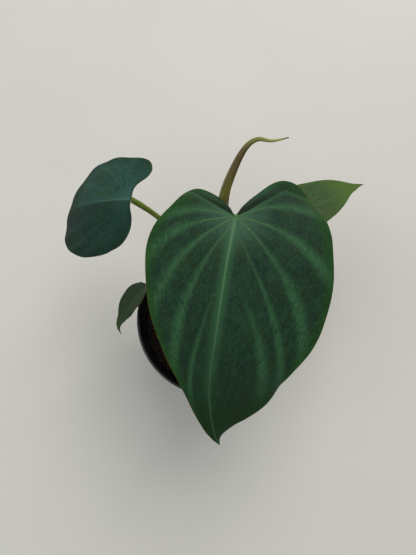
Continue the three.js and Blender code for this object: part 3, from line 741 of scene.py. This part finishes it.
def underside_material(name, flesh, vein_color):
    s = Shader(name)
    flat = s.leaf_place()
    vein, rib, margin = s.attributes("vein_mm", "rib_mm", "edge_mm")
    blotch = s.noise(flat, 0.2, detail=4)
    net = s.cells(flat, 0.85)
    color = s.mix(s.ramp(blotch, 0.3, 0.75), flesh, times(flesh, 0.6))
    color = s.mix(s.ramp(net, 0.0, 0.14, 0.35, 0.0), color, vein_color)
    color = s.mix(s.ramp(vein, 0.5, 1.7, 0.95, 0.0), color, vein_color)
    color = s.mix(s.ramp(rib, 0.9, 2.4, 1.0, 0.0), color, vein_color)
    color = s.mix(s.ramp(margin, 0.3, 1.2, 0.7, 0.0), color, vein_color)
    s.bump(net, 0.3, 0.0003)
    return s.surface(color, 0.5, 0.4)


def stalk_material(name, low, high, streak):
    s = Shader(name)
    along, around = s.attributes("along", "around")
    place = s.object_place()
    streaks = s.noise(s.scaled(place, (1.0, 1.0, 0.25)), 900.0, detail=3)
    color = s.mix(s.ramp(along, 0.1, 0.95), low, high)
    color = s.mix(s.ramp(streaks, 0.5, 0.75, 0.0, 0.6), color, streak)
    dots = s.cells(place, 700.0, feature="F1")
    color = s.mix(s.ramp(dots, 0.0, 0.25, 0.35, 0.0), color, times(high, 1.8))
    ridges = s.maths("SINE", s.product(around, 88.0))
    s.bump(s.maths("ADD", s.product(ridges, 0.3), streaks), 0.35, 0.0003)
    return s.surface(color, 0.5, 0.4)


def hair_material():
    s = Shader("bristle")
    tone = s.noise(s.object_place(), 400.0)
    color = s.mix(tone, srgb(120, 130, 70), srgb(150, 110, 80))
    return s.surface(color, 0.5, 0.4)


def furled_material():
    s = Shader("furled_leaf")
    along, around = s.attributes("along", "around")
    streaks = s.noise(s.vector(s.product(around, 22.0), s.product(along, 5.0)), 1.0, detail=3)
    color = s.mix(s.ramp(along, 0.62, 0.74), srgb(112, 108, 44), srgb(96, 78, 30))
    color = s.mix(s.ramp(along, 0.78, 0.86), color, srgb(116, 118, 40))
    color = s.mix(s.ramp(along, 0.88, 0.94), color, srgb(136, 138, 60))
    color = s.mix(s.ramp(along, 0.965, 0.985), color, srgb(108, 62, 44))
    brown = s.ramp(along, 0.84, 0.92, 0.75, 0.25)
    color = s.mix(s.product(s.ramp(streaks, 0.48, 0.68), brown), color, srgb(66, 46, 30))
    color = s.mix(s.ramp(around, 0.0, 0.06, 0.5, 0.0), color, srgb(140, 140, 90))
    s.bump(streaks, 0.35, 0.0004)
    return s.surface(color, 0.42, 0.45)


def pot_material():
    s = Shader("pot_plastic")
    place = s.object_place()
    dust = s.noise(place, 60.0, detail=5, roughness=0.7)
    grain = s.noise(place, 1800.0, detail=2)
    scuff = s.noise(s.scaled(place, (1.0, 1.0, 0.15)), 260.0, detail=4)
    color = s.mix(s.ramp(dust, 0.5, 0.8, 0.0, 0.5), srgb(9, 9, 10), srgb(34, 32, 30))
    color = s.mix(s.ramp(scuff, 0.62, 0.8, 0.0, 0.4), color, srgb(52, 52, 52))
    rough = s.ramp(dust, 0.3, 0.8, 0.34, 0.55)
    s.bump(s.maths("ADD", s.product(grain, 0.5), scuff), 0.12, 0.0003)
    return s.surface(color, rough, 0.5)


def soil_material():
    s = Shader("soil_bed")
    place = s.object_place()
    coarse = s.noise(place, 160.0, detail=5, roughness=0.7)
    fine = s.noise(place, 700.0, detail=4, roughness=0.7)
    color = s.mix(s.ramp(coarse, 0.4, 0.7), srgb(14, 11, 8), srgb(42, 29, 19))
    color = s.mix(s.ramp(fine, 0.6, 0.78, 0.0, 0.7), color, srgb(78, 50, 30))
    s.bump(s.maths("ADD", coarse, s.product(fine, 0.6)), 0.7, 0.001)
    return s.surface(color, 0.9, 0.25)


def bark_material():
    s = Shader("bark")
    place = s.object_place()
    tone = s.noise(place, 90.0, detail=1)
    fibre = s.noise(s.scaled(place, (1.0, 0.2, 1.0)), 900.0, detail=4)
    color = s.mix(s.ramp(tone, 0.35, 0.65), srgb(32, 18, 12), srgb(84, 44, 26))
    color = s.mix(s.ramp(fibre, 0.45, 0.7, 0.0, 0.7), color, srgb(24, 15, 10))
    s.bump(fibre, 0.6, 0.0006)
    return s.surface(color, 0.82, 0.3)


def root_material():
    s = Shader("aerial_root")
    tone = s.noise(s.object_place(), 320.0, detail=4)
    color = s.mix(s.ramp(tone, 0.35, 0.7), srgb(150, 120, 82), srgb(92, 66, 42))
    s.bump(tone, 0.4, 0.0004)
    return s.surface(color, 0.75, 0.3)


def sheath_material():
    s = Shader("sheath")
    flat = s.leaf_place()
    fibre = s.noise(s.scaled(flat, (3.0, 0.25, 0.0)), 1.0, detail=3)
    tone = s.noise(flat, 0.3, detail=2)
    color = s.mix(s.ramp(tone, 0.3, 0.7), srgb(126, 118, 62), srgb(150, 110, 78))
    color = s.mix(s.ramp(fibre, 0.4, 0.65, 0.0, 0.6), color, srgb(96, 84, 46))
    s.bump(fibre, 0.4, 0.0003)
    return s.surface(color, 0.6, 0.35)


def floor_material():
    s = Shader("floor")
    tone = s.noise(s.object_place(), 6.0, detail=4)
    color = s.mix(tone, srgb(196, 193, 184), srgb(206, 203, 194))
    return s.surface(color, 0.85, 0.2)


# Pieces

def finish_piece(obj, slot, *nodes):
    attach(obj, "root")
    if nodes:
        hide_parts(*nodes)


def arc_points(centre, radius, start, end, steps):
    angles = np.radians(np.linspace(start, end, steps + 1))
    return [(centre[0] + radius * math.cos(a), centre[1] + radius * math.sin(a)) for a in angles]


def lathe_object(name, profile, sides, material, sharp_angle=40.0):
    """Profile turned about the upright axis. Its heights are numbers or functions of x and y."""
    points = []
    rings = []
    for radius, height in profile:
        count = 1 if radius < 1e-6 else sides
        rings.append(list(range(len(points), len(points) + count)) * (sides // count))
        for k in range(count):
            angle = 2 * math.pi * k / sides
            x, y = radius * math.cos(angle), radius * math.sin(angle)
            points.append((x, y, height(x, y) if callable(height) else height))
    faces = []
    for low, high in zip(rings, rings[1:]):
        for k in range(sides):
            after = (k + 1) % sides
            ring = [low[k], low[after], high[after], high[k]]
            face = [v for n, v in enumerate(ring) if v != ring[n - 1]]
            if len(face) >= 3:
                faces.append(face)
    return new_object(name, points, faces, [material], sharp_angle=sharp_angle)


def inside_radius(z):
    return BASE_RADIUS + (BODY_TOP_RADIUS - BASE_RADIUS) * z / LIP_BOTTOM - POT_WALL


def pot_profile():
    """Half section of the pot, from the middle of its underside round to the middle of its floor."""
    foot, bead, inner = FOOT_ROUND, LIP_BEAD, LIP_INNER_ROUND
    corner_top = POT_FLOOR + FLOOR_CORNER
    return [(0, 0), (BASE_RADIUS - FOOT_INSET, 0),
            *arc_points((BASE_RADIUS - foot, foot), foot, -80, 0, 5),
            (BODY_TOP_RADIUS, LIP_BOTTOM - LIP_DRAFT),
            *arc_points((RIM_RADIUS - bead, LIP_BOTTOM + bead), bead, -90, 0, 5),
            *arc_points((RIM_RADIUS - bead, POT_HEIGHT - bead), bead, 0, 90, 5),
            *arc_points((BODY_TOP_RADIUS + inner, POT_HEIGHT - inner), inner, 90, 180, 4),
            (BODY_TOP_RADIUS - LIP_DRAFT, LIP_BOTTOM + LIP_INNER_FOOT),
            (BODY_TOP_RADIUS - POT_WALL, LIP_BOTTOM - POT_WALL),
            (inside_radius(corner_top), corner_top),
            (inside_radius(POT_FLOOR) - FLOOR_CORNER, POT_FLOOR),
            (0, POT_FLOOR)]


def pot_piece(material):
    pot = lathe_object("nursery_pot", pot_profile(), POT_SIDES, material)
    for k in range(DRAIN_HOLES):
        angle = 2 * math.pi * k / DRAIN_HOLES
        x, y = DRAIN_CIRCLE * math.cos(angle), DRAIN_CIRCLE * math.sin(angle)
        path = [(x, y, -DRILL_PAST), (x, y, POT_FLOOR + DRILL_PAST)]
        drill = tube_object("drill", path, lambda u, turn: DRAIN_RADIUS, material, sides=40, steps=1)
        cut = pot.modifiers.new("drain", "BOOLEAN")
        cut.operation = "DIFFERENCE"
        cut.object = drill
        cut.solver = "EXACT"
        bpy.context.view_layer.objects.active = pot
        with bpy.context.temp_override(object=pot):
            bpy.ops.object.modifier_apply(modifier=cut.name)
        bpy.data.objects.remove(drill, do_unlink=True)
    finish_piece(pot, "pot", "pot")


def soil_height(x, y):
    mounds = 0.9 * np.sin(0.21 * x + 1.3) * np.cos(0.17 * y - 0.6)
    return SOIL_LEVEL + mounds + 0.5 * np.sin(0.43 * x - 0.38 * y + 2)


def soil_bed(material):
    edge = inside_radius(SOIL_LEVEL) - SOIL_GAP
    foot = POT_FLOOR + SOIL_GAP

    def crumbly_height(x, y):
        crumb = noise.fractal(Vector((x, y, 3.0)) * 0.33, 1.0, 2.0, 4)
        return soil_height(x, y) + SOIL_ROUGHNESS * crumb * (1 - (math.hypot(x, y) / edge) ** 12)

    profile = [(0, foot), (inside_radius(foot) - SOIL_GAP, foot)]
    profile += [(edge * (k / SOIL_RINGS) ** 0.8, crumbly_height) for k in range(SOIL_RINGS, 0, -1)]
    profile += [(0, soil_height)]
    bed = lathe_object("soil_bed", profile, SOIL_SIDES, material, sharp_angle=80)
    finish_piece(bed, "soil", "soil")


def block_faces(index):
    """Faces of a chip's block: its underside, its top and its four sides."""
    one_way = ((0, 0), (1, 0), (1, 1), (0, 1))
    other_way = ((0, 0), (0, 1), (1, 1), (1, 0))
    faces = []
    for i in range(CHIP_CUTS):
        for j in range(CHIP_CUTS):
            faces.append([index[i + a, j + b, 0] for a, b in other_way])
            faces.append([index[i + a, j + b, 2] for a, b in one_way])
        for k in range(2):
            faces.append([index[i + a, 0, k + b] for a, b in one_way])
            faces.append([index[i + a, CHIP_CUTS, k + b] for a, b in other_way])
            faces.append([index[0, i + a, k + b] for a, b in other_way])
            faces.append([index[CHIP_CUTS, i + a, k + b] for a, b in one_way])
    return faces


def chip_mesh(rng, length, width, depth, place, tilt, heading):
    """Rough bark chip: a block cut into a small grid and pushed about by noise."""
    points = []
    index = {}
    offset = rng.uniform(0, 100)
    for i in range(CHIP_CUTS + 1):
        for j in range(CHIP_CUTS + 1):
            for k in range(3):
                if 0 < i < CHIP_CUTS and 0 < j < CHIP_CUTS and k == 1:
                    continue
                x, y, z = i / CHIP_CUTS - 0.5, j / CHIP_CUTS - 0.5, k / 2 - 0.5
                rounding = 1 - CHIP_ROUNDING * (max(abs(x), abs(y)) * 2) ** 3 * (abs(z) * 2)
                v = Vector((x * length * rounding, y * width * rounding, z * depth))
                v += noise.noise_vector(v * 0.6 + Vector((offset, 0, 0))) * CHIP_ROUGHNESS * width
                index[i, j, k] = len(points)
                points.append(v)
    turned = []
    for v in points:
        y = v.y * math.cos(tilt) - v.z * math.sin(tilt)
        z = v.y * math.sin(tilt) + v.z * math.cos(tilt)
        turned.append((place[0] + v.x * math.cos(heading) - y * math.sin(heading),
                       place[1] + v.x * math.sin(heading) + y * math.cos(heading), place[2] + z))
    return turned, block_faces(index)


def joined(name, parts, material, sharp_angle=50.0):
    points = []
    faces = []
    for part_points, part_faces in parts:
        faces += [[v + len(points) for v in face] for face in part_faces]
        points += part_points
    return new_object(name, points, faces, [material], sharp_angle=sharp_angle)


def soil_chips(material):
    rng = random.Random(SEED)
    # Unseeded, the noise that roughens the chips differs on each run
    noise.seed_set(SEED)
    golden = math.pi * (3 - math.sqrt(5))
    stem_x, stem_y = STEM_PATH[1][:2]
    chips = []
    for k in range(CHIPS):
        reach = CHIP_SPREAD * math.sqrt((k + 0.5) / CHIPS)
        x, y = reach * math.cos(k * golden), reach * math.sin(k * golden)
        size = [rng.uniform(*span) for span in (CHIP_LENGTH, CHIP_WIDTH, CHIP_DEPTH)]
        turn = (rng.uniform(-CHIP_TILT, CHIP_TILT), rng.uniform(0, math.pi))
        if math.hypot(x - stem_x, y - stem_y) > CHIP_CLEAR_OF_STEM:
            place = (x, y, soil_height(x, y) + CHIP_LIFT)
            chips.append(chip_mesh(rng, *size, place, *turn))
    for _ in range(CRUMBS):
        reach = CRUMB_SPREAD * math.sqrt(rng.random())
        angle = rng.uniform(0, 2 * math.pi)
        x, y = reach * math.cos(angle), reach * math.sin(angle)
        length = rng.uniform(*CRUMB_LENGTH)
        place = (x, y, soil_height(x, y) + rng.uniform(*CRUMB_LIFT))
        turn = (rng.uniform(-CRUMB_TILT, CRUMB_TILT), rng.uniform(0, math.pi))
        clear_of_stem = math.hypot(x - stem_x, y - stem_y) > CRUMB_CLEAR_OF_STEM
        if clear_of_stem and reach + length / 2 < inside_radius(SOIL_LEVEL):
            width = length * rng.uniform(*CRUMB_WIDTH_SHARE)
            chips.append(chip_mesh(rng, length, width, length * CRUMB_DEPTH_SHARE, place, *turn))
    finish_piece(joined("bark_chips", chips, material), "soil", "soil")


def stem_pieces(stem_finish, root_finish):
    spline = Spline(STEM_PATH)

    def radius(u, turn):
        height = spline.at(u * spline.length)[2]
        swell = sum(bell(height - node, NODE_BAND) for node in NODE_HEIGHTS)
        rounding = math.sqrt(min((1 - u) / 0.05, 1) * 0.6 + 0.4)
        ripple = STEM_RIPPLE * np.sin(2 * math.pi * turn * 5 + u * 9)
        taper = STEM_RADIUS + (STEM_TIP_RADIUS - STEM_RADIUS) * u ** 3
        return (taper + NODE_SWELL * swell + ripple) * rounding

    stem = tube_object("stem_core", spline, radius, stem_finish, sides=40, steps=130)
    finish_piece(stem, "stem", "stem")
    for number, (path, thickness) in enumerate(ROOTS, start=1):
        def root_radius(u, turn, thickness=thickness):
            return thickness * (1.05 - 0.35 * u + 0.08 * np.sin(40 * u + 6 * turn))
        root = tube_object(f"aerial_root_{number}", path, root_radius, root_finish, sides=14, steps=40)
        finish_piece(root, "stem", "stem")


def petiole_pieces(stalk_finish, bristle_finish):
    rng = random.Random(SEED + 1)
    for name, (path, foot, top) in PETIOLES.items():
        spline = Spline(path)

        def radius(u, turn, foot=foot, top=top):
            along = foot + (top - foot) * smooth(u * 1.4)
            joint = 1 + 0.12 * bell(u - 0.95, 0.06)
            flute = 1 - 0.06 * bell(turn - 0.25, 0.08)
            return along * joint * flute

        stalk = tube_object(f"petiole_{name}", spline, radius, stalk_finish, sides=28, steps=90)
        finish_piece(stalk, "petiole", f"leaf_{name}_petiole")
        bristles = joined(f"bristles_{name}", bristle_cones(rng, spline, radius), bristle_finish)
        finish_piece(bristles, "petiole")


def bristle_cones(rng, spline, radius):
    sides, steps = 24, 120
    rings, centres, _, _ = tube_rings(spline, radius, sides, steps)
    cones = []
    for _ in range(int(spline.length * BRISTLES_PER_MM)):
        i, k = rng.randrange(4, steps - 1), rng.randrange(sides)
        root = rings[i, k] * 0.97 + centres[i] * 0.03
        away = unit(rings[i, k] - centres[i])
        tangent = unit(centres[i + 1] - centres[i])
        lean = unit(away + tangent * rng.uniform(-0.5, 0.2) + np.array([0, 0, -0.15]))
        side = unit(np.cross(lean, tangent))
        other = np.cross(lean, side)
        length, thick = rng.uniform(*BRISTLE_LENGTH), rng.uniform(*BRISTLE_THICKNESS)
        base = [root + thick * (math.cos(a) * side + math.sin(a) * other) for a in (0, 2.094, 4.189)]
        points = [tuple(p) for p in base] + [tuple(root + lean * length)]
        cones.append((points, [(0, 1, 3), (1, 2, 3), (2, 0, 3), (2, 1, 0)]))
    return cones


def furled_piece(material):
    def radius(u, turn):
        around = (turn + ROLL_TURNS * u) % 1
        seam = ROLL_SEAM * smooth(u * 4) * (around - 0.5)
        ribs = 0.02 * np.sin(2 * math.pi * turn * ROLL_RIBS)
        return along_stops(FURLED_RADII, u) * (1 + seam + ribs)
    leaf = tube_object("furled_leaf_roll", FURLED_PATH, radius, material, sides=72, steps=220)
    finish_piece(leaf, "furled_leaf", "furled_leaf")


def build_plant():
    velvet = blade_material("blade_velvet", FRONT_LOOK)
    sky_sheen = blade_material("blade_sky_sheen", LEFT_LOOK)
    young_green = blade_material("blade_young", RIGHT_LOOK)
    old_green = blade_material("blade_old", LOW_LOOK)
    maroon = underside_material("blade_underside", srgb(92, 34, 44), srgb(122, 142, 84))
    young_under = underside_material("blade_underside_young", srgb(104, 66, 52), srgb(134, 152, 92))
    blades = {"front": (FRONT_LEAF, velvet, maroon, "blade"),
              "left": (LEFT_LEAF, sky_sheen, maroon, "blade"),
              "right": (RIGHT_LEAF, young_green, young_under, "young_blade"),
              "low": (LOW_LEAF, old_green, maroon, "blade")}
    for name, (leaf, upper, lower, slot) in blades.items():
        blade = blade_object(f"blade_{name}", leaf, upper, lower)
        finish_piece(blade, slot, f"leaf_{name}_blade")
    sheath = sheath_material()
    finish_piece(blade_object("cataphyll_sheath", CATAPHYLL, sheath, sheath), "sheath", "cataphyll")
    petiole_pieces(stalk_material("petiole_skin", srgb(86, 102, 28), srgb(84, 106, 18), srgb(104, 74, 40)),
                   hair_material())
    furled_piece(furled_material())
    stem_pieces(stalk_material("stem_skin", srgb(104, 92, 52), srgb(98, 116, 58), srgb(78, 62, 40)),
                root_material())


def build_pot():
    pot_piece(pot_material())
    soil_bed(soil_material())
    soil_chips(bark_material())


# Stage

def build_stage():
    mesh = bpy.data.meshes.new("floor")
    corners = [(x * FLOOR_REACH, y * FLOOR_REACH, 0) for x, y in ((-1, -1), (1, -1), (1, 1), (-1, 1))]
    mesh.from_pydata(corners, [], [(0, 1, 2, 3)])
    mesh.materials.append(floor_material())
    floor = bpy.data.objects.new("floor", mesh)
    bpy.context.scene.collection.objects.link(floor)


def add_softbox(name, place, size, power, color):
    light = bpy.data.lights.new(name, "AREA")
    light.size = size
    light.energy = power
    light.color = color
    obj = bpy.data.objects.new(name, light)
    obj.location = place
    aim = Vector((0, 0, 0.1)) - Vector(place)
    obj.rotation_euler = aim.to_track_quat("-Z", "Y").to_euler()
    bpy.context.scene.collection.objects.link(obj)


def build_light():
    world = bpy.data.worlds.new("studio")
    world.use_nodes = True
    sky = world.node_tree.nodes["Background"]
    sky.inputs["Color"].default_value = (0.86, 0.9, 0.95, 1.0)
    sky.inputs["Strength"].default_value = 0.55
    bpy.context.scene.world = world
    add_softbox("key", (0.3, 0.8, 1.3), size=1.1, power=15.0, color=(1.0, 0.98, 0.95))
    add_softbox("fill", (-0.9, -0.3, 1.1), size=1.0, power=4.0, color=(0.9, 0.95, 1.0))
    bpy.context.scene.view_settings.view_transform = "Standard"


def build_camera():
    camera = bpy.data.cameras.new("camera")
    camera.lens = CAMERA_LENS
    camera.sensor_width = CAMERA_SENSOR
    camera.clip_start = 0.01
    obj = bpy.data.objects.new("camera", camera)
    obj.location = CAMERA_PLACE
    obj.rotation_euler = (math.radians(90 - CAMERA_ELEVATION), 0, 0)
    bpy.context.scene.collection.objects.link(obj)
    bpy.context.scene.camera = obj


build_camera()
build_stage()
build_light()
build_pot()
build_plant()
